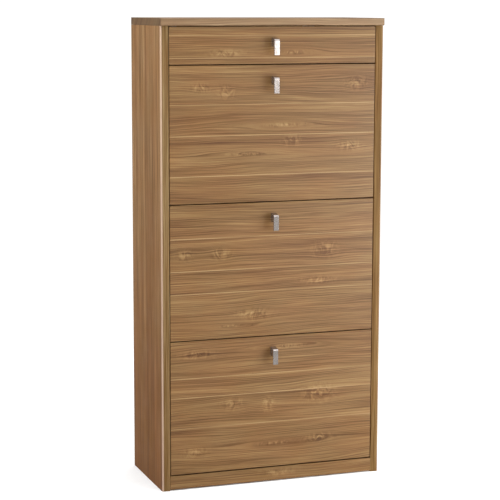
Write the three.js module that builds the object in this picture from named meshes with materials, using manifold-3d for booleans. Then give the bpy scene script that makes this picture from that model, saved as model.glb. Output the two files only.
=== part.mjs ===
// A tall shoe cabinet in walnut-effect board: one shallow drawer over three tilt-out flaps.
// Millimetres. +Z is up, the fronts face -Y, and the origin is on the floor under the middle.
import * as THREE from "three";
import { mergeVertices } from "three/addons/utils/BufferGeometryUtils.js";
import Module from "manifold-3d";

const wasm = await Module();
wasm.setup();

// ---- Driving dimensions ----

const WIDTH = 708;
const HEIGHT = 1420;
const CARCASS_DEPTH = 315;
const HANDLE_REACH = 25;
const SIDE_THICK = 25;
const TOP_THICK = 22;
const TOP_OVERHANG = 7;
const BOARD_THICK = 16;
const FIT = 0.3; // between pieces that touch
const ROUND_SIDES = 16;
const SECTOR_SEGMENTS = 9;

// The front plane is the face of every front, of the plinth and of the side edges.
const FRONT_Y = HANDLE_REACH - (CARCASS_DEPTH + HANDLE_REACH) / 2;
const BACK_Y = FRONT_Y + CARCASS_DEPTH;
const SIDE_TOP = HEIGHT - TOP_THICK - FIT;
const INNER_X = WIDTH / 2 - SIDE_THICK;
const FRONT_INNER_Y = FRONT_Y + BOARD_THICK;

// Fronts: the drawer and three equal flaps, with a reveal all round each.
const SIDE_REVEAL = 2;
const FRONT_REVEAL = 3.2;
const FRONT_WIDTH = 2 * (INNER_X - SIDE_REVEAL);
const PLINTH_BOTTOM = 3.5;
const PLINTH_TOP = 44.6;
const FLAPS_BOTTOM = 47;
const FLAP_PITCH = 412.2;
const FLAP_HEIGHT = FLAP_PITCH - FRONT_REVEAL;
const FLAP_LEVELS = { bottom: 0, middle: 1, top: 2 };
const DRAWER_FRONT_BOTTOM = FLAPS_BOTTOM + 3 * FLAP_PITCH + FRONT_REVEAL / 2;
const DRAWER_FRONT_HEIGHT = 110.2;
const HANDLE_BELOW_EDGE = 33;

// Rebate in the back edges of the sides, and the thin back panel that lies in it.
const REBATE_DEPTH = 5.8;
const REBATE_WIDTH = 12;
const REBATE_Y = BACK_Y - REBATE_DEPTH;
const BACK_THICK = 3;
const BACK_PANEL_GAP = 1.5;
const BACK_PANEL_Y = REBATE_Y + BACK_PANEL_GAP;
const BACK_SPLIT = 712;

// Flap pivot, measured from the flap's bottom edge and from its outer face.
const PIVOT_UP = 90;
const PIVOT_IN = 22;
const PIVOT_Y = FRONT_Y + PIVOT_IN;
const PIN_RADIUS = 4;
const PIN_PLAY = 0.35;
const BUSH_RADIUS = 7;
const BUSH_DEPTH = 12;
const FLANGE_RADIUS = 11;
const FLANGE_THICK = 1.5;

// Bucket side: a sector about the pivot, and the pin that stops it at both ends of a slot.
// Its lower edge runs from the front, past the toe, up to the back; heights are over the pivot.
const SECTOR_RADIUS = 285;
const SECTOR_LOW = -62;
const SECTOR_TOE_Y = 130;
const SECTOR_TOE_LOW = -42;
const SECTOR_BACK_LOW = 34;
const BUCKET_DEPTH = 272;
const BUCKET_PLATE = 4;
const BUCKET_SIDE_GAP = 6;
const BUCKET_OUTER_X = INNER_X - BUCKET_SIDE_GAP;
const BUCKET_INNER_X = BUCKET_OUTER_X - BUCKET_PLATE;
const LEDGE_WIDTH = 14;
const LEDGE_THICK = 3;
const LEDGE_SHORTER = 6; // than the board that it carries
const BOARD_END_GAP = 0.4;
const STOP_RADIUS = 205;
const STOP_ANGLE = 80;
const OPEN_ANGLE = 45;

// Boards of a bucket: [name, distance behind the pivot, height over it, width, tilt in degrees].
const BUCKET_BOARD = 8;
const BUCKET_BOARDS = [
  ["front_floor", 64, -33, 122, 8],
  ["divider", 134, 43, 130, 90],
  ["rear_floor", 204, 52, 120, 8],
];

// Drawer box, carried by a strip on each side of the cabinet in a groove of each drawer side.
const DRAWER_SIDE_THICK = 15;
const DRAWER_SIDE_GAP = 3.5;
const DRAWER_SIDE_X = INNER_X - DRAWER_SIDE_GAP;
const DRAWER_DEPTH = 260;
const DRAWER_LOW = 1287;
const DRAWER_HIGH = 1370;
const DRAWER_BASE_Z = 1293;
const DRAWER_BASE_THICK = 3;
const BASE_GROOVE = 6;
const RUNNER_Z = 1345;
const RUNNER_HEIGHT = 13;
const RUNNER_SETBACK = 4; // behind the inner face of the drawer front
const RUNNER_TIP_X = INNER_X - 10.8;
const RUNNER_GROOVE_DEPTH = 8;
const RUNNER_GROOVE_HEIGHT = 14;
const RUNNER_LENGTH = 275;

// ---- Materials ----

const walnut = (colour) =>
  new THREE.MeshStandardMaterial({ color: colour, roughness: 0.5, metalness: 0 });
const MATERIALS = {
  front: () => walnut(0xa27d56),
  carcass: () => walnut(0x8c6a4b),
  inside: () => walnut(0x9a7550),
  hardboard: () => new THREE.MeshStandardMaterial({ color: 0x8d7259, roughness: 0.8 }),
  aluminium: () =>
    new THREE.MeshStandardMaterial({ color: 0xd4d0ca, roughness: 0.32, metalness: 1 }),
  steel: () => new THREE.MeshStandardMaterial({ color: 0xb8babd, roughness: 0.4, metalness: 1 }),
  plastic: () => new THREE.MeshStandardMaterial({ color: 0x4a3a2c, roughness: 0.55 }),
  nylon: () => new THREE.MeshStandardMaterial({ color: 0xd8d4c8, roughness: 0.5 }),
};

// ---- Geometry helpers ----

const toRadians = THREE.MathUtils.degToRad;

// A box given by its corners.
function block([x0, y0, z0], [x1, y1, z1]) {
  const box = new THREE.BoxGeometry(x1 - x0, y1 - y0, z1 - z0);
  return box.translate((x0 + x1) / 2, (y0 + y1) / 2, (z0 + z1) / 2);
}

function extrude(shape, depth, segments = 8) {
  return new THREE.ExtrudeGeometry(shape, { depth, bevelEnabled: false, curveSegments: segments });
}

// Extrudes an outline drawn in (y, z) along +X, from x0 to x1.
function extrudeAlongX(shape, x0, x1, segments) {
  const turn = new THREE.Matrix4().set(0, 0, 1, x0, 1, 0, 0, 0, 0, 1, 0, 0, 0, 0, 0, 1);
  return extrude(shape, x1 - x0, segments).applyMatrix4(turn);
}

// A round bar or disc along X, centred on (y, z).
function barAlongX(radius, x0, x1, y, z) {
  const bar = new THREE.CylinderGeometry(radius, radius, x1 - x0, ROUND_SIDES);
  return bar.rotateZ(Math.PI / 2).translate((x0 + x1) / 2, y, z);
}

// A closed geometry as a solid that can be joined and cut.
function solid(geometry) {
  const plain = geometry.clone();
  plain.deleteAttribute("normal");
  plain.deleteAttribute("uv");
  const merged = mergeVertices(plain, 1e-4);
  const mesh = new wasm.Mesh({
    numProp: 3,
    vertProperties: merged.attributes.position.array,
    triVerts: new Uint32Array(merged.index.array),
  });
  return new wasm.Manifold(mesh);
}

function toGeometry(manifold) {
  const mesh = manifold.getMesh();
  const geometry = new THREE.BufferGeometry();
  geometry.setAttribute("position", new THREE.BufferAttribute(mesh.vertProperties, 3));
  geometry.setIndex(new THREE.BufferAttribute(mesh.triVerts, 1));
  geometry.computeVertexNormals();
  return geometry;
}

function join(...geometries) {
  return toGeometry(geometries.map(solid).reduce((whole, next) => whole.add(next)));
}

function cut(geometry, ...tools) {
  return toGeometry(tools.map(solid).reduce((whole, tool) => whole.subtract(tool), solid(geometry)));
}

// How far a cutting tool runs past what it cuts, or a joined shape into its neighbour.
const PAST = 1;

const cabinet = new THREE.Group();

function add(name, geometry, material, parent = cabinet) {
  const mesh = new THREE.Mesh(geometry, MATERIALS[material]());
  mesh.name = name;
  parent.add(mesh);
  return mesh;
}

// Adds a piece built for the right-hand side and its mirror image on the left.
function addPair(name, geometry, material, parent = cabinet) {
  add(name + "_right", geometry, material, parent);
  add(name + "_left", geometry, material, parent).scale.x = -1;
}

// ---- Places that several pieces share ----

const flapBottom = (level) => FLAPS_BOTTOM + level * FLAP_PITCH + FRONT_REVEAL / 2;
const pivotHeight = (level) => flapBottom(level) + PIVOT_UP;
const stopOffset = {
  y: STOP_RADIUS * Math.cos(toRadians(STOP_ANGLE)),
  z: STOP_RADIUS * Math.sin(toRadians(STOP_ANGLE)),
};

// ---- Carcass ----

// Plan of the right side: soft front corners, and the rebate for the back panel.
function sidePlan() {
  const outer = WIDTH / 2;
  const outerRound = 4;
  const innerRound = 1.5;
  const plan = new THREE.Shape();
  plan.moveTo(INNER_X + innerRound, FRONT_Y);
  plan.lineTo(outer - outerRound, FRONT_Y);
  plan.absarc(outer - outerRound, FRONT_Y + outerRound, outerRound, -Math.PI / 2, 0, false);
  plan.lineTo(outer, BACK_Y);
  plan.lineTo(INNER_X + REBATE_WIDTH, BACK_Y);
  plan.lineTo(INNER_X + REBATE_WIDTH, REBATE_Y);
  plan.lineTo(INNER_X, REBATE_Y);
  plan.lineTo(INNER_X, FRONT_Y + innerRound);
  plan.absarc(INNER_X + innerRound, FRONT_Y + innerRound, innerRound, Math.PI, 1.5 * Math.PI, false);
  return plan;
}

// A side panel with a blind bore for each pivot bush and each stop pin.
function sidePanel() {
  const bores = Object.values(FLAP_LEVELS).flatMap((level) => {
    const z = pivotHeight(level);
    const depth = INNER_X + BUSH_DEPTH + FIT;
    return [
      barAlongX(BUSH_RADIUS + FIT, INNER_X - PAST, depth, PIVOT_Y, z),
      barAlongX(PIN_RADIUS + FIT, INNER_X - PAST, depth, PIVOT_Y + stopOffset.y, z + stopOffset.z),
    ];
  });
  return cut(extrude(sidePlan(), SIDE_TOP, 4), ...bores);
}

// Section of the top: the front edge is rounded over and under.
function topPanel() {
  const front = FRONT_Y - TOP_OVERHANG;
  const low = SIDE_TOP + FIT;
  const over = 2;
  const under = 4;
  const section = new THREE.Shape();
  section.moveTo(BACK_Y, low);
  section.lineTo(BACK_Y, HEIGHT);
  section.lineTo(front + over, HEIGHT);
  section.absarc(front + over, HEIGHT - over, over, Math.PI / 2, Math.PI, false);
  section.lineTo(front, low + under);
  section.absarc(front + under, low + under, under, Math.PI, 1.5 * Math.PI, false);
  return extrudeAlongX(section, -WIDTH / 2, WIDTH / 2, 4);
}

// A level board between the sides, from y0 back to y1, with its top face at z.
function levelBoard(z, y0, y1) {
  const x = INNER_X - FIT;
  return block([-x, y0, z - BOARD_THICK], [x, y1, z]);
}

function backPanel(z0, z1) {
  const x = INNER_X + REBATE_WIDTH - FIT;
  return block([-x, BACK_PANEL_Y, z0], [x, BACK_PANEL_Y + BACK_THICK, z1]);
}

// H-section strip that joins the two back panels edge to edge.
function joiningStrip() {
  const web = 1.5;
  const flange = 0.8;
  const reach = 8;
  const x = INNER_X - FIT;
  const front = BACK_PANEL_Y - FIT;
  const back = BACK_PANEL_Y + BACK_THICK + FIT;
  return join(
    block([-x, front - flange / 2, BACK_SPLIT - web / 2], [x, back + flange / 2, BACK_SPLIT + web / 2]),
    block([-x, front - flange, BACK_SPLIT - reach], [x, front, BACK_SPLIT + reach]),
    block([-x, back, BACK_SPLIT - reach], [x, back + flange, BACK_SPLIT + reach]),
  );
}

// Steel angle under the top that takes the wall screw through the back panel.
function wallBracket() {
  const centre = 230;
  const half = 20;
  const thick = 2;
  const leg = 28;
  const holeRadius = 3;
  const top = SIDE_TOP;
  const back = BACK_PANEL_Y - FIT;
  const angle = join(
    block([centre - half, back - leg, top - thick], [centre + half, back, top]),
    block([centre - half, back - thick, top - leg], [centre + half, back, top]),
  );
  const wallHole = new THREE.CylinderGeometry(holeRadius, holeRadius, 3 * thick, ROUND_SIDES);
  return cut(angle, wallHole.translate(centre, back, top - leg / 2 - thick));
}

function addCarcass() {
  const bottomBack = REBATE_Y - FIT;
  const railDepth = 80;
  const railOverPivot = 353;
  const shelfTop = 1280;
  const bumperGap = 2;
  const stripRoom = 0.75 + FIT;
  addPair("side", sidePanel(), "carcass");
  add("top_panel", topPanel(), "carcass");
  add("bottom_panel", levelBoard(PLINTH_TOP, FRONT_INNER_Y + FIT, bottomBack), "inside");
  const plinthX = INNER_X - FIT;
  add("plinth", block([-plinthX, FRONT_Y, PLINTH_BOTTOM], [plinthX, FRONT_INNER_Y, PLINTH_TOP]), "front");
  add("drawer_shelf", levelBoard(shelfTop, FRONT_INNER_Y + bumperGap, bottomBack), "inside");
  for (const name of ["bottom", "middle"]) {
    const z = pivotHeight(FLAP_LEVELS[name]) + railOverPivot;
    add("rear_rail_over_" + name, levelBoard(z, bottomBack - railDepth, bottomBack), "inside");
  }
  add("back_panel_lower", backPanel(PLINTH_TOP - BOARD_THICK, BACK_SPLIT - stripRoom), "hardboard");
  add("back_panel_upper", backPanel(BACK_SPLIT + stripRoom, SIDE_TOP), "hardboard");
  add("back_joining_strip", joiningStrip(), "plastic");
  addPair("wall_bracket", wallBracket(), "steel");
}

// ---- Flap hardware that stays on the carcass ----

// Flanged bush in the side panel that the flap's pivot pin turns in.
function pivotBush() {
  const endThick = 1.5;
  const flangeX = INNER_X - FIT - FLANGE_THICK;
  const end = INNER_X + BUSH_DEPTH;
  const body = join(
    barAlongX(BUSH_RADIUS, flangeX, end, 0, 0),
    barAlongX(FLANGE_RADIUS, flangeX, INNER_X - FIT, 0, 0),
  );
  return cut(body, barAlongX(PIN_RADIUS + PIN_PLAY, flangeX - PAST, end - endThick, 0, 0));
}

function stopPin() {
  const setIn = 0.5;
  const { y, z } = stopOffset;
  return barAlongX(PIN_RADIUS, BUCKET_INNER_X + setIn, INNER_X + BUSH_DEPTH, y, z);
}

// ---- Flaps ----

// Outline of a bucket side about the pivot, set in from its edge by inset.
function sectorOutline(inset) {
  const front = FRONT_INNER_Y + FIT - PIVOT_Y + inset;
  const radius = SECTOR_RADIUS - inset;
  const back = BUCKET_DEPTH - inset;
  const backAngle = Math.acos(back / radius);
  const frontAngle = Math.acos(front / radius);
  const outline = new THREE.Shape();
  outline.moveTo(front, SECTOR_LOW + inset);
  outline.lineTo(SECTOR_TOE_Y, SECTOR_TOE_LOW + inset);
  outline.lineTo(back, SECTOR_BACK_LOW + inset);
  outline.absarc(0, 0, radius, backAngle, frontAngle, false);
  return outline;
}

// Raised rim round the sector's edge.
function sectorRim() {
  const rimThick = 2.5;
  const rimDepth = 10;
  const rim = sectorOutline(0);
  rim.holes.push(sectorOutline(rimThick));
  return extrudeAlongX(rim, BUCKET_INNER_X - rimDepth, BUCKET_INNER_X + PAST, SECTOR_SEGMENTS);
}

// Curved slot that the stop pin runs in, from shut to open.
function stopSlot() {
  const play = 0.5;
  const half = PIN_RADIUS + play;
  const end = toRadians(STOP_ANGLE);
  const start = toRadians(STOP_ANGLE - OPEN_ANGLE);
  const middle = (angle) => [STOP_RADIUS * Math.cos(angle), STOP_RADIUS * Math.sin(angle)];
  const slot = new THREE.Shape();
  slot.absarc(0, 0, STOP_RADIUS + half, start, end, false);
  slot.absarc(...middle(end), half, end, end + Math.PI, false);
  slot.absarc(0, 0, STOP_RADIUS - half, end, start, true);
  slot.absarc(...middle(start), half, start + Math.PI, start + 2 * Math.PI, false);
  return extrudeAlongX(slot, BUCKET_INNER_X - PAST, BUCKET_OUTER_X + PAST, SECTOR_SEGMENTS);
}

// Ledge under a bucket board, or behind the upright one, on the side's inner face.
function ledge([, y, z, width, tilt]) {
  const below = BUCKET_BOARD / 2 + FIT + LEDGE_THICK / 2;
  const strip = new THREE.BoxGeometry(LEDGE_WIDTH + PAST, width - LEDGE_SHORTER, LEDGE_THICK);
  strip.translate(0, 0, -below);
  strip.rotateX(toRadians(tilt));
  return strip.translate(BUCKET_INNER_X + (PAST - LEDGE_WIDTH) / 2, y, z);
}

// Side of a bucket, with its flange on the front, rim, ledges and pivot pin.
function bucketSide() {
  const flangeThick = 4;
  const flangeLow = -55;
  const flangeHigh = 260;
  const flangeInner = [BUCKET_INNER_X - LEDGE_WIDTH, FRONT_INNER_Y + FIT - PIVOT_Y, flangeLow];
  const flangeOuter = [BUCKET_OUTER_X - PAST, flangeInner[1] + flangeThick, flangeHigh];
  const bossRadius = PIN_RADIUS + 1.5;
  const bossEnd = BUCKET_OUTER_X + 3;
  const pinEnd = INNER_X + 6;
  const sector = extrudeAlongX(sectorOutline(0), BUCKET_INNER_X, BUCKET_OUTER_X, SECTOR_SEGMENTS);
  return join(
    cut(sector, stopSlot()),
    sectorRim(),
    block(flangeInner, flangeOuter),
    ...BUCKET_BOARDS.map(ledge),
    barAlongX(PIN_RADIUS, BUCKET_INNER_X, pinEnd, 0, 0),
    barAlongX(bossRadius, BUCKET_INNER_X, bossEnd, 0, 0),
  );
}

// A bucket board, the whole way between the two bucket sides.
function bucketBoard([, y, z, width, tilt]) {
  const board = new THREE.BoxGeometry(2 * (BUCKET_INNER_X - BOARD_END_GAP), width, BUCKET_BOARD);
  return board.rotateX(toRadians(tilt)).translate(0, y, z);
}

// Pull with its top at the origin: a block on the front and a tab that hangs in front of it.
function handle() {
  const width = 16;
  const tall = 51;
  const blockTall = 26;
  const tabThick = 4;
  const round = 6;
  const drop = 3;
  const outline = new THREE.Shape();
  outline.moveTo(-FIT, 0);
  outline.lineTo(round - HANDLE_REACH, -drop);
  outline.absarc(round - HANDLE_REACH, -drop - round, round, Math.PI / 2, Math.PI, false);
  outline.lineTo(-HANDLE_REACH, -tall);
  outline.lineTo(tabThick - HANDLE_REACH, -tall);
  outline.lineTo(tabThick - HANDLE_REACH, -blockTall);
  outline.lineTo(-FIT, -blockTall);
  return extrudeAlongX(outline, -width / 2, width / 2, 6);
}

function addHandle(name, frontTop) {
  add(name, handle(), "aluminium").position.set(0, FRONT_Y, frontTop - HANDLE_BELOW_EDGE);
}

function addFlap(name, level) {
  const prefix = "flap_" + name;
  const bottom = flapBottom(level);
  const half = FRONT_WIDTH / 2;
  const top = bottom + FLAP_HEIGHT;
  const hardware = new THREE.Group();
  hardware.position.set(0, PIVOT_Y, pivotHeight(level));
  cabinet.add(hardware);
  addPair("pivot_bush_" + name, pivotBush(), "nylon", hardware);
  addPair("stop_pin_" + name, stopPin(), "nylon", hardware);
  addPair(prefix + "_bucket_side", bucketSide(), "plastic", hardware);
  for (const board of BUCKET_BOARDS)
    add(prefix + "_" + board[0], bucketBoard(board), "inside", hardware);
  add(prefix + "_front", block([-half, FRONT_Y, bottom], [half, FRONT_INNER_Y, top]), "front");
  addHandle(prefix + "_handle", top);
}

// ---- Drawer ----

// Strip on the side of the cabinet that the drawer runs on.
function runner() {
  const front = FRONT_INNER_Y + RUNNER_SETBACK;
  const back = front + RUNNER_LENGTH;
  const half = RUNNER_HEIGHT / 2;
  return block([RUNNER_TIP_X, front, RUNNER_Z - half], [INNER_X - FIT, back, RUNNER_Z + half]);
}

// Drawer side with a running groove outside and a groove for the base inside.
function drawerSide() {
  const inner = DRAWER_SIDE_X - DRAWER_SIDE_THICK;
  const front = FRONT_INNER_Y + FIT;
  const back = front + DRAWER_DEPTH;
  const half = RUNNER_GROOVE_HEIGHT / 2;
  const grooveX = DRAWER_SIDE_X - RUNNER_GROOVE_DEPTH;
  return cut(
    block([inner, front, DRAWER_LOW], [DRAWER_SIDE_X, back, DRAWER_HIGH]),
    block([grooveX, front - PAST, RUNNER_Z - half], [DRAWER_SIDE_X + PAST, back + PAST, RUNNER_Z + half]),
    baseGroove([inner - PAST, front - PAST], [inner + BASE_GROOVE, back + PAST]),
  );
}

// Space that the drawer base slides into, over the given plan.
function baseGroove([x0, y0], [x1, y1]) {
  const top = DRAWER_BASE_Z + DRAWER_BASE_THICK + FIT;
  return block([x0, y0, DRAWER_BASE_Z - FIT], [x1, y1, top]);
}

function drawerFront() {
  const half = FRONT_WIDTH / 2;
  const top = DRAWER_FRONT_BOTTOM + DRAWER_FRONT_HEIGHT;
  const grooveX = DRAWER_SIDE_X - DRAWER_SIDE_THICK + BASE_GROOVE;
  return cut(
    block([-half, FRONT_Y, DRAWER_FRONT_BOTTOM], [half, FRONT_INNER_Y, top]),
    baseGroove([-grooveX, FRONT_INNER_Y - BASE_GROOVE], [grooveX, FRONT_INNER_Y + PAST]),
  );
}

function addDrawer() {
  const inner = DRAWER_SIDE_X - DRAWER_SIDE_THICK;
  const back = FRONT_INNER_Y + FIT + DRAWER_DEPTH;
  const baseX = inner + BASE_GROOVE - FIT;
  const baseFront = FRONT_INNER_Y - BASE_GROOVE + FIT;
  const baseTop = DRAWER_BASE_Z + DRAWER_BASE_THICK;
  const backX = inner - FIT;
  addPair("drawer_runner", runner(), "nylon");
  add("drawer_front", drawerFront(), "front");
  addHandle("drawer_handle", DRAWER_FRONT_BOTTOM + DRAWER_FRONT_HEIGHT);
  addPair("drawer_side", drawerSide(), "inside");
  add(
    "drawer_back",
    block([-backX, back - DRAWER_SIDE_THICK, baseTop + FIT], [backX, back, DRAWER_HIGH]),
    "inside",
  );
  add("drawer_base", block([-baseX, baseFront, DRAWER_BASE_Z], [baseX, back, baseTop]), "hardboard");
}

addCarcass();
for (const [name, level] of Object.entries(FLAP_LEVELS)) addFlap(name, level);
addDrawer();

export default cabinet;
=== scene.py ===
"""A tall shoe cabinet in walnut-effect laminate: a drawer, three tilt-out flaps and bright metal pulls."""

import math

import bmesh
import bpy
from mathutils import Matrix, Vector


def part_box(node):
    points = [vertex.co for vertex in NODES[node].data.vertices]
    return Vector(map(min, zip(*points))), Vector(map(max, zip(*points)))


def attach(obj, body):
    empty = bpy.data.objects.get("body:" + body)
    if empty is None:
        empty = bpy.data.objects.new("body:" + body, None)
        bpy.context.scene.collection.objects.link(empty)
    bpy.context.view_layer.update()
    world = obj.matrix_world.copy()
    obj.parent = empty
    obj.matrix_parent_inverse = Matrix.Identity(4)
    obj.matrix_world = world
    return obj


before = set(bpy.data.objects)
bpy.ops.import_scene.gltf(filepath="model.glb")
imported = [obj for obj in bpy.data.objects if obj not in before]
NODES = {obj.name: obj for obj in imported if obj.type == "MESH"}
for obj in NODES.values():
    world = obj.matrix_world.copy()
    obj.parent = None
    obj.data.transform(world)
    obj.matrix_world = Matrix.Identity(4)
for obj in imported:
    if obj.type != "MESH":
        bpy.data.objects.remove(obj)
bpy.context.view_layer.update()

MM = 0.001
FLAPS = ("bottom", "middle", "top")
SIDES = ("left", "right")


# ---- Shader graphs ----


class Graph:
    """A material's node tree, with short calls for the nodes that it uses."""

    def __init__(self, name):
        self.material = bpy.data.materials.new(name)
        self.material.use_nodes = True
        self.nodes = self.material.node_tree.nodes
        self.links = self.material.node_tree.links
        self.shader = self.nodes["Principled BSDF"]

    def feed(self, socket, value):
        if isinstance(value, bpy.types.NodeSocket):
            self.links.new(value, socket)
        elif value is not None:
            socket.default_value = value

    def math(self, operation, a, b=None, c=None, clamp=False):
        node = self.nodes.new("ShaderNodeMath")
        node.operation = operation
        node.use_clamp = clamp
        for socket, value in zip(node.inputs, (a, b, c)):
            self.feed(socket, value)
        return node.outputs[0]

    def total(self, first, *others):
        for other in others:
            first = self.math("ADD", first, other)
        return first

    def object_axes(self):
        """The object's own x, y and z in metres. They stay with the piece when it moves."""
        place = self.nodes.new("ShaderNodeTexCoord").outputs["Object"]
        split = self.nodes.new("ShaderNodeSeparateXYZ")
        self.links.new(place, split.inputs[0])
        return split.outputs[0], split.outputs[1], split.outputs[2]

    def combine(self, x, y, z):
        node = self.nodes.new("ShaderNodeCombineXYZ")
        for socket, value in zip(node.inputs, (x, y, z)):
            self.feed(socket, value)
        return node.outputs[0]

    def noise(self, vector, scale=1.0, detail=2.0, roughness=0.5, distortion=0.0):
        node = self.nodes.new("ShaderNodeTexNoise")
        self.links.new(vector, node.inputs["Vector"])
        node.inputs["Scale"].default_value = scale
        node.inputs["Detail"].default_value = detail
        node.inputs["Roughness"].default_value = roughness
        node.inputs["Distortion"].default_value = distortion
        return node.outputs[0]

    def remap(self, value, low, high, to_low=0.0, to_high=1.0, smooth=False):
        node = self.nodes.new("ShaderNodeMapRange")
        node.interpolation_type = "SMOOTHSTEP" if smooth else "LINEAR"
        for socket, number in zip(node.inputs, (value, low, high, to_low, to_high)):
            self.feed(socket, number)
        return node.outputs[0]

    def mix(self, factor, a, b, blend="MIX"):
        node = self.nodes.new("ShaderNodeMix")
        node.data_type = "RGBA"
        node.blend_type = blend
        self.feed(node.inputs[0], factor)
        self.feed(node.inputs[6], rgba(a))
        self.feed(node.inputs[7], rgba(b))
        return node.outputs[2]

    def ramp(self, value, *stops):
        node = self.nodes.new("ShaderNodeValToRGB")
        self.links.new(value, node.inputs[0])
        elements = node.color_ramp.elements
        while len(elements) < len(stops):
            elements.new(0.5)
        for element, (place, colour) in zip(elements, stops):
            element.position = place
            element.color = rgba(colour)
        return node.outputs[0]

    def bump(self, height, strength, distance):
        node = self.nodes.new("ShaderNodeBump")
        node.inputs["Strength"].default_value = strength
        node.inputs["Distance"].default_value = distance
        self.links.new(height, node.inputs["Height"])
        self.links.new(node.outputs[0], self.shader.inputs["Normal"])

    def finish(self, colour, roughness, metallic=0.0, specular=0.5):
        self.feed(self.shader.inputs["Base Color"], colour)
        self.feed(self.shader.inputs["Roughness"], roughness)
        self.shader.inputs["Metallic"].default_value = metallic
        self.shader.inputs["Specular IOR Level"].default_value = specular
        return self.material


def rgba(colour):
    """A colour given as sRGB 0 to 255, as linear RGBA. A socket is passed on."""
    if isinstance(colour, bpy.types.NodeSocket):
        return colour
    linear = [c / 255 / 12.92 if c / 255 <= 0.04045 else ((c / 255 + 0.055) / 1.055) ** 2.4 for c in colour]
    return (*linear, 1.0)


# ---- Walnut-effect laminate ----

WALNUT = {
    "dark": (80, 53, 26),
    "low": (114, 81, 44),
    "mid": (136, 105, 67),
    "high": (156, 126, 87),
    "pale": (190, 161, 122),
}
FRONT_TINT = (210, 201, 185)
INSIDE_TINT = (232, 224, 214)
INSIDE_GLOSS = 0.55
JOINT_HALF_WIDTH = 1.3 * MM
RING_PITCH = 5.6 * MM
RING_DRIFT = 3.5  # rings that the spacing wanders by
BAND_PITCH, LINE_PITCH, HAIR_PITCH, FIBRE_PITCH, PORE_PITCH = 0.03, 0.0056, 0.0031, 0.0011, 0.0006  # metres
BAND_DEPTH, LINE_DEPTH, HAIR_DEPTH, FIBRE_DEPTH, RING_DEPTH = 0.3, 0.21, 0.43, 0.2, -0.26
MID_TONE = 0.56  # the place on the colour ramp that the tones vary about
BEND_REACH, RIPPLE_REACH = 0.055, 0.006  # metres that the grain wanders by, slowly and quickly
CURL_ALONG, CURL_ACROSS = 44.0, 30.0  # changes in a metre of a knot's curly figure
SHORT_KNOT = 70  # mm; a longer one is a long arch in the grain with hardly an eye
SHORT_PULL, LONG_PULL = 0.6, 1.15
SHORT_EYE_POWER, LONG_EYE_POWER = 1.6, 9.0
SIDE_SHADE_TOP = 0.95  # metres up a side panel, where its painted shade, darker towards the floor, has faded out
# Colour of the painted highlight down a side panel's outer front corner.
PAINTED_CORNER_HIGHLIGHT = (216, 186, 166)


def grain_axes(g, grain):
    """(distance along the grain, distance across it), so that edges and faces both show stripes."""
    x, y, z = g.object_axes()
    if grain == "x":
        return x, g.total(z, y)
    return z, g.total(y, x)


def plank_number(g, across, joints):
    """How many plank joints lie below this point, and 1 on the joints themselves."""
    number, line = 0.0, 0.0
    for joint in joints:
        number = g.total(g.math("GREATER_THAN", across, joint * MM), number)
        line = g.total(g.math("COMPARE", across, joint * MM, JOINT_HALF_WIDTH), line)
    return number, line


def knot_pull(g, along, across, knots):
    """How far the grain is pushed aside round each knot, and how close the point is to a knot's eye."""
    push, eye = 0.0, 0.0
    for a, c, length, height, strength in knots:
        short = length < SHORT_KNOT
        da = g.math("DIVIDE", g.math("SUBTRACT", along, a * MM), length * MM)
        dc = g.math("DIVIDE", g.math("SUBTRACT", across, c * MM), height * MM)
        far = g.total(g.math("MULTIPLY", da, da), g.math("MULTIPLY", dc, dc))
        near = g.math("EXPONENT", g.math("MULTIPLY", far, -1.0))
        pull = (SHORT_PULL if short else LONG_PULL) * strength * MM
        push = g.total(g.math("MULTIPLY", g.math("MULTIPLY", dc, near), pull), push)
        eye = g.total(g.math("POWER", near, SHORT_EYE_POWER if short else LONG_EYE_POWER), eye)
    return push, eye


def growth_rings(g, bent, along, plank):
    """Growth rings: each darkens slowly, then ends in a thin dark line. Their strength varies."""
    drift_place = g.combine(g.math("DIVIDE", bent, BAND_PITCH), g.math("MULTIPLY", along, 1.5), plank)
    drift = g.noise(drift_place, 1.0, 1.0)
    count = g.total(g.math("DIVIDE", bent, RING_PITCH), g.math("MULTIPLY", drift, RING_DRIFT))
    within = g.math("FRACT", count)
    slow = g.math("POWER", within, 3.0)
    release = g.remap(within, 0.9, 1.0, 1.0, 0.0, True)
    number = g.math("FLOOR", count)
    strength_place = g.combine(g.math("MULTIPLY", number, 0.77), g.math("MULTIPLY", along, 1.8), plank)
    strength = g.noise(strength_place, 1.0, 1.0)
    return g.math("MULTIPLY", g.math("MULTIPLY", slow, release), g.remap(strength, 0.3, 0.6))


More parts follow.
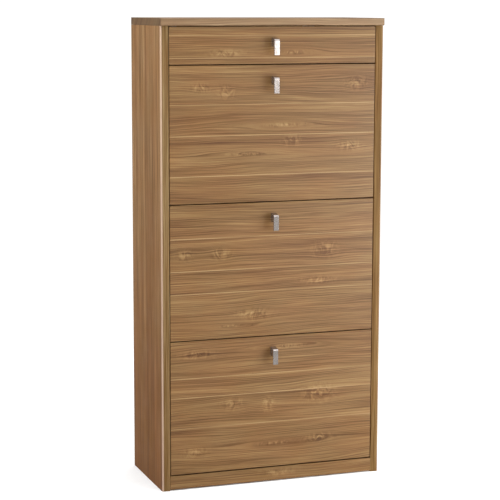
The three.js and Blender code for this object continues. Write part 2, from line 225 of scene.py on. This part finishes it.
def walnut(
    name, grain="x", seed=0.0, joints=(), knots=(), wave=1.0, tint=None, gloss=0.42, specular=0.3,
    edging=None, depth=1.0,
):
    """Walnut-effect laminate: printed planks with growth lines, curly knots, fibre and pores."""
    g = Graph(name)
    along, across = grain_axes(g, grain)
    number, line = plank_number(g, across, joints)
    plank = g.math("ADD", g.math("MULTIPLY", number, 3.71), seed)
    push, eye = knot_pull(g, along, across, knots)

    def spread(value, reach):
        return g.math("MULTIPLY", g.math("SUBTRACT", value, 0.5), reach)

    def field(along_scale, across_scale, detail):
        """Noise over the board, from how often it changes in a metre each way."""
        far = g.math("MULTIPLY", along, along_scale)
        up = g.math("MULTIPLY", across, across_scale)
        return g.noise(g.combine(far, up, plank), 1.0, detail)

    bend = field(1.5, 5.0, 2.0)
    ripple = field(8.0, 34.0, 3.0)
    bent = g.total(
        across,
        spread(bend, BEND_REACH * wave),
        spread(ripple, RIPPLE_REACH * wave),
        g.math("MULTIPLY", push, -1.0),
    )

    def streaks(pitch, stretch, detail):
        """Lines of uneven strength that follow the bent grain, one about every pitch metres."""
        vector = g.combine(g.math("DIVIDE", bent, pitch), g.math("MULTIPLY", along, stretch), plank)
        return g.noise(vector, 1.0, detail, 0.6)

    bands = streaks(BAND_PITCH, 0.8, 1.0)
    lines = streaks(LINE_PITCH, 2.6, 2.0)
    hairs = streaks(HAIR_PITCH, 4.5, 1.5)
    fibre = streaks(FIBRE_PITCH, 14.0, 2.0)
    pore_place = g.combine(g.math("MULTIPLY", along, 130.0), g.math("DIVIDE", bent, PORE_PITCH), plank)
    pores = g.noise(pore_place, 1.0, 1.0)
    rings = growth_rings(g, bent, along, plank)
    curl_along = g.math("MULTIPLY", along, CURL_ALONG)
    curl_across = g.math("MULTIPLY", across, CURL_ACROSS)
    curl = g.noise(g.combine(curl_along, curl_across, plank), 1.0, 3.0, 0.6, 1.6)
    figure = g.math("MULTIPLY", eye, g.remap(curl, 0.36, 0.64, -0.13, 0.13, True))

    shades = g.total(
        spread(bands, BAND_DEPTH),
        spread(lines, LINE_DEPTH),
        spread(hairs, HAIR_DEPTH),
        spread(fibre, FIBRE_DEPTH),
        g.math("MULTIPLY", rings, RING_DEPTH),
        g.math("MULTIPLY", eye, 0.05),
        figure,
    )
    tone = g.total(g.math("MULTIPLY", shades, depth), MID_TONE)
    base = g.ramp(
        tone,
        (0.2, WALNUT["dark"]),
        (0.4, WALNUT["low"]),
        (0.52, WALNUT["mid"]),
        (0.64, WALNUT["high"]),
        (0.84, WALNUT["pale"]),
    )
    cloud = field(4.5, 15.0, 3.0)
    reddish = g.mix(1.0, base, (255, 243, 231), "MULTIPLY")
    olive = g.mix(1.0, base, (252, 248, 240), "MULTIPLY")
    hued = g.mix(g.remap(cloud, 0.38, 0.62, 0.0, 1.0, True), olive, reddish)
    pore_mask = g.remap(pores, 0.66, 0.78, 0.0, 0.4, True)
    pored = g.mix(pore_mask, hued, WALNUT["dark"])
    kept = g.remap(field(3.0, 0.0, 1.0), 0.4, 0.6, 0.25, 0.85, True)
    lined = g.mix(g.math("MULTIPLY", line, kept), pored, WALNUT["pale"])
    if tint:
        lined = g.mix(1.0, lined, tint, "MULTIPLY")
    if edging:
        lined = edging(g, lined)
    sheen = g.remap(field(9.0, 9.0, 3.0), 0.3, 0.7, gloss - 0.05, gloss + 0.06)
    relief = g.total(g.math("MULTIPLY", fibre, 0.6), g.math("MULTIPLY", pore_mask, -0.8))
    g.bump(relief, 0.12, 0.0002)
    return g.finish(lined, sheen, specular=specular)


def side_shade_and_edging(bottom, strip_tone, corner_highlight):
    """Edging for a side panel: a painted shade that darkens it towards the floor, its front edge's strip, and
    a painted highlight down its outer front corner.
    """

    def edging(g, wood):
        x, y, z = g.object_axes()
        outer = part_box("side_right")[1][0]
        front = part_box("side_right")[0][1]
        # Painted shade: the panel is multiplied by its floor tint, fading out with height, so it is darker
        # towards the floor.
        shade_fade = g.remap(z, 0.0, SIDE_SHADE_TOP, 0.0, 1.0)
        floor_shaded = g.mix(shade_fade, g.mix(1.0, wood, bottom, "MULTIPLY"), wood)
        strip = g.remap(y, front + 0.6 * MM, front + 1.0 * MM, 0.9, 0.0)
        edged = g.mix(strip, floor_shaded, g.mix(1.0, wood, strip_tone, "MULTIPLY"))
        # Painted highlight: a thin light band on the outer face beside the front edge, standing in for the
        # rounded corner catching the light.
        side = g.remap(g.math("ABSOLUTE", x), outer - 5.5 * MM, outer - 3.0 * MM, 0.0, corner_highlight, True)
        near = g.remap(y, front + 3.5 * MM, front + 5.0 * MM, 1.0, 0.0, True)
        return g.mix(g.math("MULTIPLY", side, near), edged, PAINTED_CORNER_HIGHLIGHT)

    return edging


def top_edging(g, wood):
    """The paler strip on the front edge of the top, and the darker ones on its ends."""
    x, y, _ = g.object_axes()
    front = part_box("top_panel")[0][1]
    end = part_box("top_panel")[1][0]
    strip = g.remap(y, front + 1.0 * MM, front + 2.0 * MM, 0.12, 0.0)
    edged = g.mix(strip, wood, (180, 156, 130))
    cap = g.remap(g.math("ABSOLUTE", x), end - 0.6 * MM, end - 0.3 * MM, 0.0, 0.8)
    return g.mix(cap, edged, g.mix(1.0, wood, (214, 204, 176), "MULTIPLY"))


# ---- Other materials ----


def satin_metal(name, colour, roughness, brushed):
    """Satin metal: fine scratches along Z, and cloudy finger marks."""
    g = Graph(name)
    x, y, z = g.object_axes()
    across_brush = 2600.0
    along_brush = 120.0
    scales = (across_brush, across_brush, along_brush)
    brush = [g.math("MULTIPLY", axis, scale) for axis, scale in zip((x, y, z), scales)]
    scratch = g.noise(g.combine(*brush))
    marks = g.noise(g.combine(x, y, z), 75.0, 3.0)
    rough = g.total(
        g.remap(marks, 0.35, 0.7, roughness - 0.04, roughness + 0.09),
        g.math("MULTIPLY", g.math("SUBTRACT", scratch, 0.5), 0.1 * brushed),
    )
    shade = g.mix(g.remap(marks, 0.3, 0.75, 0.0, 1.0, True), colour, [0.93 * c for c in colour])
    g.bump(scratch, 0.03 * brushed, 0.00005)
    return g.finish(shade, rough, metallic=0.88)


def zinc(name):
    """Zinc-plated steel, with its faint crystal patches."""
    g = Graph(name)
    place = g.combine(*g.object_axes())
    patches = g.noise(place, 160.0, 2.0, 0.6, 0.8)
    colour = g.ramp(patches, (0.3, (158, 160, 164)), (0.7, (196, 198, 200)))
    g.bump(g.noise(place, 900.0, 2.0), 0.06, 0.0001)
    return g.finish(colour, g.remap(patches, 0.3, 0.7, 0.32, 0.48), metallic=1.0)


def moulded(name, colour, roughness):
    """Moulded plastic with a fine spark-eroded texture and a little dust."""
    g = Graph(name)
    place = g.combine(*g.object_axes())
    texture = g.noise(place, 1800.0, 2.0)
    dust = g.noise(place, 24.0, 4.0, 0.6)
    paler = [min(255, c * 1.22 + 8) for c in colour]
    shade = g.mix(g.remap(dust, 0.45, 0.8, 0.0, 0.55, True), colour, paler)
    g.bump(texture, 0.16, 0.0001)
    return g.finish(shade, g.remap(dust, 0.3, 0.7, roughness - 0.06, roughness + 0.08))


def hardboard(name):
    """Thin fibreboard with a printed brown face and visible felted fibre."""
    g = Graph(name)
    x, y, z = g.object_axes()
    felt = g.combine(g.math("MULTIPLY", x, 340.0), y, g.math("MULTIPLY", z, 340.0))
    fibre = g.noise(felt, 1.0, 4.0, 0.7, 1.2)
    cloud = g.noise(g.combine(x, y, z), 7.0, 3.0)
    tone = g.total(g.math("MULTIPLY", fibre, 0.6), g.math("MULTIPLY", cloud, 0.4))
    colour = g.ramp(tone, (0.3, (112, 86, 60)), (0.5, (140, 112, 82)), (0.7, (160, 132, 100)))
    g.bump(fibre, 0.2, 0.0003)
    return g.finish(colour, g.remap(fibre, 0.3, 0.7, 0.68, 0.84), specular=0.3)


def rubber(name):
    g = Graph(name)
    place = g.combine(*g.object_axes())
    grime = g.noise(place, 300.0, 3.0)
    colour = g.ramp(grime, (0.3, (206, 204, 196)), (0.75, (232, 231, 226)))
    g.bump(grime, 0.08, 0.0001)
    return g.finish(colour, g.remap(grime, 0.3, 0.7, 0.3, 0.45))


def height_of(node, top_offset):
    """A height measured down from the top edge of a front, in mm over the floor."""
    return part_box(node)[1][2] / MM - top_offset


def across_of(node, down):
    """The grain coordinate of a point on a front's face, down mm below its top edge."""
    return height_of(node, down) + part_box(node)[0][1] / MM


def front_walnut(node, seed, joints, knots, wave):
    """Laminate of a front. Joints are mm below its top edge.

    A knot is its x, mm below the top edge, length, height, and how far it pulls the grain, all in mm.
    """
    places = [(x, across_of(node, down), length, height, pull) for x, down, length, height, pull in knots]
    return walnut(
        node + "_walnut",
        seed=seed,
        joints=[across_of(node, down) for down in joints],
        knots=places,
        wave=wave,
        tint=FRONT_TINT,
        depth=1.1,
    )


# Each front's seed, plank joints, knots and grain wave.
FRONTS = {
    "drawer_front": (17.0, (26, 92), ((-150, 78, 60, 12, 12), (60, 76, 110, 15, 22)), 0.6),
    "flap_top_front": (
        23.0,
        (116, 208, 328),
        ((-228, 66, 34, 16, 18), (-150, 78, 30, 20, 16), (268, 56, 42, 22, 20), (30, 180, 150, 16, 20),
         (60, 226, 34, 18, 12), (248, 246, 44, 16, 18), (-90, 265, 150, 14, 16)),
        0.9,
    ),
    "flap_middle_front": (
        41.0,
        (102, 200, 269),
        ((-282, 150, 30, 20, 16), (-168, 152, 34, 18, 18), (168, 152, 44, 26, 24), (-60, 340, 60, 18, 22),
         (-130, 372, 130, 10, 14), (150, 245, 60, 12, 12)),
        0.8,
    ),
    "flap_bottom_front": (
        57.0,
        (114, 174, 268),
        ((-240, 42, 60, 14, 18), (40, 34, 170, 14, 20), (-130, 202, 34, 20, 16), (-15, 212, 22, 26, 18),
         (150, 190, 60, 30, 24), (10, 336, 150, 14, 20), (-250, 345, 44, 16, 16), (150, 330, 60, 14, 16)),
        0.9,
    ),
}


# Each side panel's seed, tint, tint of the painted shade at the floor, tint of its front edge, and strength
# of the painted highlight on its outer corner.
SIDE_PANELS = {
    "left": (97.0, (252, 246, 250), (226, 198, 152), (205, 217, 220), 0.5),
    "right": (113.0, (218, 206, 192), (246, 240, 232), (236, 250, 255), 0.12),
}


# ---- Dressing the CAD nodes ----


def dress(node, material, bevel=0.8, segments=2):
    """Gives a CAD node its material, and eases its sharp edges by bevel mm."""
    piece = NODES[node]
    if not piece.material_slots:
        piece.data.materials.append(material)
    for slot in piece.material_slots:
        slot.link = "OBJECT"
        slot.material = material
    weld = piece.modifiers.new("weld", "WELD")
    weld.merge_threshold = 0.02 * MM
    if bevel:
        ease = piece.modifiers.new("ease", "BEVEL")
        ease.width = bevel * MM
        ease.segments = segments
        ease.limit_method = "ANGLE"
        ease.angle_limit = math.radians(40)
        ease.harden_normals = True


def dress_all():
    """Dresses every CAD node, and returns the materials that the added pieces share."""
    for node, (seed, joints, knots, wave) in FRONTS.items():
        dress(node, front_walnut(node, seed, joints, knots, wave), 1.0)
    plinth = walnut("plinth_walnut", seed=71.0, knots=((20, -118, 60, 12, 12),), wave=0.6, tint=FRONT_TINT)
    dress("plinth", plinth, 0.8)
    top = walnut("top_walnut", seed=83.0, wave=0.5, tint=(216, 217, 228), edging=top_edging)
    dress("top_panel", top, 0.5)
    for hand, (seed, tint, bottom, strip, corner_highlight) in SIDE_PANELS.items():
        # Each side panel gets a painted shade towards the floor and a painted highlight down its outer front
        # corner.
        side = walnut(
            "side_%s_walnut" % hand, grain="z", seed=seed, wave=0.35, tint=tint, specular=0.07,
            edging=side_shade_and_edging(bottom, strip, corner_highlight), depth=1.2,
        )
        dress("side_" + hand, side, 0.5)
    inside = walnut("inside_walnut", seed=131.0, wave=0.5, tint=INSIDE_TINT, gloss=INSIDE_GLOSS)
    boards = ["bottom_panel", "drawer_shelf", "rear_rail_over_bottom", "rear_rail_over_middle", "drawer_back"]
    flap_boards = ("front_floor", "divider", "rear_floor")
    boards += ["flap_%s_%s" % (flap, board) for flap in FLAPS for board in flap_boards]
    for board in boards:
        dress(board, inside, 0.5)
    drawer_side = walnut("drawer_side_walnut", seed=143.0, wave=0.4, tint=INSIDE_TINT, gloss=INSIDE_GLOSS)
    for hand in SIDES:
        dress("drawer_side_" + hand, drawer_side, 0.4)
    board = hardboard("back_hardboard")
    for node in ("back_panel_lower", "back_panel_upper", "drawer_base"):
        dress(node, board, 0)
    brown = moulded("brown_plastic", (66, 50, 37), 0.48)
    dress("back_joining_strip", brown, 0)
    nylon = moulded("white_nylon", (214, 208, 194), 0.42)
    pull = satin_metal("pull_metal", (182, 172, 166), 0.17, 0.4)
    steel = zinc("zinc_steel")
    dress("drawer_handle", pull, 0.9, 3)
    for hand in SIDES:
        dress("wall_bracket_" + hand, steel, 0.3)
        dress("drawer_runner_" + hand, nylon, 0.5)
    for flap in FLAPS:
        dress("flap_%s_handle" % flap, pull, 0.9, 3)
        for hand in SIDES:
            dress("flap_%s_bucket_side_%s" % (flap, hand), brown, 0.4)
            dress("pivot_bush_%s_%s" % (flap, hand), nylon, 0)
            dress("stop_pin_%s_%s" % (flap, hand), nylon, 0)
    return {"steel": steel, "brown": brown, "rubber": rubber("clear_rubber")}


# ---- Fasteners and other small pieces ----


def lathe(bm, profile, sides=20):
    """Turns (radius, height) points, in mm, about Z into a closed form."""
    step = 2 * math.pi / sides
    rings = []
    for radius, height in profile:
        if radius == 0:
            rings.append([bm.verts.new((0, 0, height * MM))])
            continue
        spokes = [(math.cos(i * step), math.sin(i * step)) for i in range(sides)]
        rings.append([bm.verts.new((radius * MM * c, radius * MM * s, height * MM)) for c, s in spokes])
    for low, high in zip(rings, rings[1:]):
        for i in range(sides):
            j = (i + 1) % sides
            corners = [low[i % len(low)], low[j % len(low)], high[j % len(high)], high[i % len(high)]]
            bm.faces.new(list(dict.fromkeys(corners)))


def cross_recess(bm, reach, width, top, depth):
    """A four-armed star prism with sizes in mm, to be cut out of a screw head."""
    outline = []
    for quarter in range(4):
        turn = Matrix.Rotation(quarter * math.pi / 2, 3, "Z")
        for x, y in ((width, -width), (reach, -width), (reach, width)):
            outline.append(turn @ Vector((x, y, 0)) * MM)
    taper = 0.55
    upper = [bm.verts.new(p + Vector((0, 0, top * MM))) for p in outline]
    lower = [bm.verts.new(p * taper + Vector((0, 0, (top - depth) * MM))) for p in outline]
    bm.faces.new(upper)
    bm.faces.new(lower[::-1])
    count = len(outline)
    for i in range(count):
        j = (i + 1) % count
        bm.faces.new((upper[j], upper[i], lower[i], lower[j]))


def to_mesh(name, build):
    bm = bmesh.new()
    build(bm)
    bmesh.ops.recalc_face_normals(bm, faces=bm.faces)
    mesh = bpy.data.meshes.new(name)
    bm.to_mesh(mesh)
    bm.free()
    return mesh


def screw_mesh(name, profile, reach, width, top, depth):
    """One screw head with its recess, at the origin, its top towards +Z. Sizes are in mm."""
    head = bpy.data.objects.new(name, to_mesh(name, lambda bm: lathe(bm, profile)))
    tool_mesh = to_mesh(name + "_tool", lambda bm: cross_recess(bm, reach, width, top, depth))
    tool = bpy.data.objects.new(name + "_tool", tool_mesh)
    for made in (head, tool):
        bpy.context.scene.collection.objects.link(made)
    cut = head.modifiers.new("cut", "BOOLEAN")
    cut.object = tool
    cut.operation = "DIFFERENCE"
    cut.solver = "EXACT"
    result = bpy.data.meshes.new_from_object(head.evaluated_get(bpy.context.evaluated_depsgraph_get()))
    for made in (head, tool):
        bpy.data.objects.remove(made)
    return result


def scatter(name, mesh, places, body, material):
    """One object holding a copy of the mesh at each place: (point in mm, direction that its top faces)."""
    bm = bmesh.new()
    for point, facing in places:
        turn = Vector(facing).to_track_quat("Z", "Y").to_matrix().to_4x4()
        start = len(bm.verts)
        bm.from_mesh(mesh)
        bm.verts.ensure_lookup_table()
        move = Matrix.Translation(Vector(point) * MM) @ turn
        bmesh.ops.transform(bm, matrix=move, verts=bm.verts[start:])
    joined = bpy.data.meshes.new(name)
    bm.to_mesh(joined)
    bm.free()
    joined.materials.append(material)
    piece = bpy.data.objects.new(name, joined)
    bpy.context.scene.collection.objects.link(piece)
    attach(piece, body)


def corners_mm(node):
    """A node's lowest and highest corner, in mm."""
    low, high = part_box(node)
    return [c / MM for c in low], [c / MM for c in high]


def mirrored(places):
    """The places, and their mirror images about the middle."""
    both = list(places)
    for (x, y, z), (fx, fy, fz) in places:
        both.append(((-x, y, z), (-fx, fy, fz)))
    return both


PAN_HEAD = ((0, 0), (3.6, 0), (3.7, 0.5), (3.3, 1.4), (2.2, 2.0), (0, 2.2))
CAM_CAP = ((0, 0), (8.6, 0), (8.8, 0.4), (8.2, 0.9), (0, 1.0))
NAIL_HEAD = ((0, 0), (2.6, 0), (2.8, 0.25), (2.3, 0.55), (0, 0.6))
BUMPER = ((0, 0), (4.0, 0), (3.9, 0.8), (2.9, 1.5), (0, 1.7))
HANDLE_SCREWS_DOWN = (7, 19)  # mm below the top of a handle
FLANGE_THICK = 4
FLANGE_GAP = 0.3
FLANGE_SCREW_IN = 7
FLANGE_SCREWS_UP = (24, 110, 210, 305)


def handle_screws(front, handle):
    """The screws that hold a handle, on the inner face of its front."""
    inner_y = corners_mm(front)[1][1]
    top = corners_mm(handle)[1][2]
    return [((0, inner_y, top - down), (0, 1, 0)) for down in HANDLE_SCREWS_DOWN]


def add_fasteners(materials):
    pan = screw_mesh("pan_head", PAN_HEAD, 2.2, 0.45, 2.6, 1.6)
    nail = to_mesh("nail", lambda bm: lathe(bm, NAIL_HEAD, 14))
    cam = screw_mesh("cam_cap", CAM_CAP, 4.4, 0.8, 1.2, 0.8)
    bumper = to_mesh("bumper", lambda bm: lathe(bm, BUMPER, 18))

    for flap in FLAPS:
        prefix = "flap_%s_" % flap
        places = handle_screws(prefix + "front", prefix + "handle")
        flange_x = corners_mm(prefix + "bucket_side_right")[0][0] + FLANGE_SCREW_IN
        flange_y = corners_mm(prefix + "front")[1][1] + FLANGE_GAP + FLANGE_THICK
        bottom = corners_mm(prefix + "bucket_side_right")[0][2]
        places += mirrored([((flange_x, flange_y, bottom + up), (0, 1, 0)) for up in FLANGE_SCREWS_UP])
        scatter(prefix + "screws", pan, places, "flap_" + flap, materials["steel"])

    places = handle_screws("drawer_front", "drawer_handle")
    scatter("drawer_screws", pan, places, "drawer", materials["steel"])

    add_back_nails(nail, materials)
    add_carcass_fittings(pan, cam, bumper, materials)


def add_back_nails(nail, materials):
    """Nails along each back panel's upright edges, and a row into each fixed board in front of it."""
    spacing = 96.0
    from_end = 12
    from_edge = 6
    board_nails_reach = 270
    board_nail_spacing = 108
    places = []
    for node in ("back_panel_lower", "back_panel_upper"):
        low, high = corners_mm(node)
        back = high[1]
        nailed = high[2] - low[2] - 2 * from_end
        count = int(nailed // spacing)
        rise = nailed / count
        for i in range(count + 1):
            z = low[2] + from_end + i * rise
            places += [((x, back, z), (0, 1, 0)) for x in (low[0] + from_edge, high[0] - from_edge)]
    back = corners_mm("back_panel_lower")[1][1]
    for node in ("bottom_panel", "drawer_shelf", "rear_rail_over_bottom", "rear_rail_over_middle"):
        low, high = corners_mm(node)
        middle = (low[2] + high[2]) / 2
        along = range(-board_nails_reach, board_nails_reach + 1, board_nail_spacing)
        places += [((x, back, middle), (0, 1, 0)) for x in along]
    scatter("back_nails", nail, places, "carcass", materials["steel"])


def add_carcass_fittings(pan, cam, bumper, materials):
    """Cam caps under the fixed boards, bracket screws, and the soft stops for the top flap."""
    cam_from_end = 34
    cam_from_edge = 40
    bumper_from_end = 30
    bracket_thick = 2
    screw_from_side = 10
    screw_from_front = 9
    caps = []
    for node in ("bottom_panel", "drawer_shelf"):
        low, high = corners_mm(node)
        rows = (low[1] + cam_from_edge, high[1] - cam_from_edge)
        caps += mirrored([((high[0] - cam_from_end, y, low[2]), (0, 0, -1)) for y in rows])
    for node in ("rear_rail_over_bottom", "rear_rail_over_middle"):
        low, high = corners_mm(node)
        caps += mirrored([((high[0] - cam_from_end, (low[1] + high[1]) / 2, low[2]), (0, 0, -1))])
    scatter("cam_caps", cam, caps, "carcass", materials["brown"])

    low, high = corners_mm("wall_bracket_right")
    columns = (low[0] + screw_from_side, high[0] - screw_from_side)
    under = high[2] - bracket_thick
    heads = mirrored([((x, low[1] + screw_from_front, under), (0, 0, -1)) for x in columns])
    scatter("bracket_screws", pan, heads, "carcass", materials["steel"])

    low, high = corners_mm("drawer_shelf")
    stops = mirrored([((high[0] - bumper_from_end, low[1], (low[2] + high[2]) / 2), (0, -1, 0))])
    scatter("flap_bumpers", bumper, stops, "carcass", materials["rubber"])


# ---- Stage, light and camera ----

LEFT_LIGHT = 0.24  # brightness of the surround on the left
OTHER_LIGHT = 0.53  # and on its other sides
BACKDROP = 1.1  # how bright the camera sees it
FLOOR_RADIUS = 3.4

# Name, place, what it points at, width and height in metres, watts, and colour.
LIGHTS = (
    ("overhead", (0.0, 0.0, 5.0), (0.0, 0.0, 0.0), (11.0, 11.0), 450, (1, 1, 1)),
    ("softbox", (1.9, -1.6, 0.72), (0.0, -0.1, 0.45), (1.4, 1.4), 72, (0.92, 0.98, 1.0)),
    ("front_top", (-0.9, -2.2, 2.0), (-0.1, -0.17, 1.2), (1.0, 0.8), 8, (1, 1, 1)),
    ("pull_card", (0.85, -2.4, 1.36), (0.0, -0.1, 1.3), (0.5, 0.45), 2.2, (1, 1, 1)),
    ("high_left", (-1.7, -0.5, 2.3), (-0.354, 0.0, 1.3), (0.8, 0.8), 26, (0.9, 0.97, 1.0)),
)


def floor_material():
    g = Graph("studio_floor")
    x, y, z = g.object_axes()
    paper = g.noise(g.combine(x, y, z), 40.0, 3.0)
    colour = g.ramp(paper, (0.3, (250, 250, 250)), (0.7, (253, 253, 253)))
    return g.finish(colour, 0.9, specular=0.1)


def floor_disc(bm):
    bmesh.ops.create_circle(bm, cap_ends=True, segments=96, radius=FLOOR_RADIUS)


def add_floor():
    """A round white floor. The metal and the laminate mirror the surround in its place."""
    mesh = to_mesh("studio_floor", floor_disc)
    mesh.materials.append(floor_material())
    floor = bpy.data.objects.new("studio_floor", mesh)
    floor.visible_glossy = False
    bpy.context.scene.collection.objects.link(floor)


def add_area_light(name, place, target, size, power, colour):
    data = bpy.data.lights.new(name, "AREA")
    data.shape = "RECTANGLE"
    data.size, data.size_y = size
    data.energy = power
    data.color = colour
    light = bpy.data.objects.new(name, data)
    light.location = place
    light.rotation_mode = "QUATERNION"
    light.rotation_quaternion = (Vector(target) - Vector(place)).to_track_quat("-Z", "Y")
    light.visible_camera = False
    bpy.context.scene.collection.objects.link(light)


def add_world():
    """A white surround. It lights the left less than the other sides, and looks plain white everywhere."""
    world = bpy.data.worlds.new("studio")
    world.use_nodes = True
    nodes, links = world.node_tree.nodes, world.node_tree.links
    split = nodes.new("ShaderNodeSeparateXYZ")
    links.new(nodes.new("ShaderNodeTexCoord").outputs["Generated"], split.inputs[0])
    dimmer = nodes.new("ShaderNodeMapRange")
    dimmer.interpolation_type = "SMOOTHSTEP"
    for socket, value in zip(dimmer.inputs[1:5], (-0.8, 0.1, LEFT_LIGHT, OTHER_LIGHT)):
        socket.default_value = value
    links.new(split.outputs[0], dimmer.inputs[0])
    seen = nodes.new("ShaderNodeMix")
    links.new(nodes.new("ShaderNodeLightPath").outputs["Is Camera Ray"], seen.inputs[0])
    links.new(dimmer.outputs[0], seen.inputs[2])
    seen.inputs[3].default_value = BACKDROP
    links.new(seen.outputs[0], nodes["Background"].inputs["Strength"])
    nodes["Background"].inputs["Color"].default_value = (1, 1, 1, 1)
    bpy.context.scene.world = world


def add_lights():
    for light in LIGHTS:
        add_area_light(*light)


def add_camera():
    """A long lens from the front left, at the height of the top, a little tilted down."""
    data = bpy.data.cameras.new("camera")
    data.sensor_width = 36.0
    data.lens = 119.5
    camera = bpy.data.objects.new("camera", data)
    camera.location = (-1.726, -4.816, 1.460)
    yaw, pitch, roll = 0.3397, -0.1469, 0.0025
    ahead = Vector((math.sin(yaw) * math.cos(pitch), math.cos(yaw) * math.cos(pitch), math.sin(pitch)))
    camera.rotation_mode = "QUATERNION"
    tilt = Matrix.Rotation(roll, 3, "Z").to_quaternion()
    camera.rotation_quaternion = ahead.to_track_quat("-Z", "Y") @ tilt
    bpy.context.scene.collection.objects.link(camera)
    bpy.context.scene.camera = camera
    bpy.context.scene.view_settings.view_transform = "Standard"


add_fasteners(dress_all())
add_floor()
add_world()
add_lights()
add_camera()
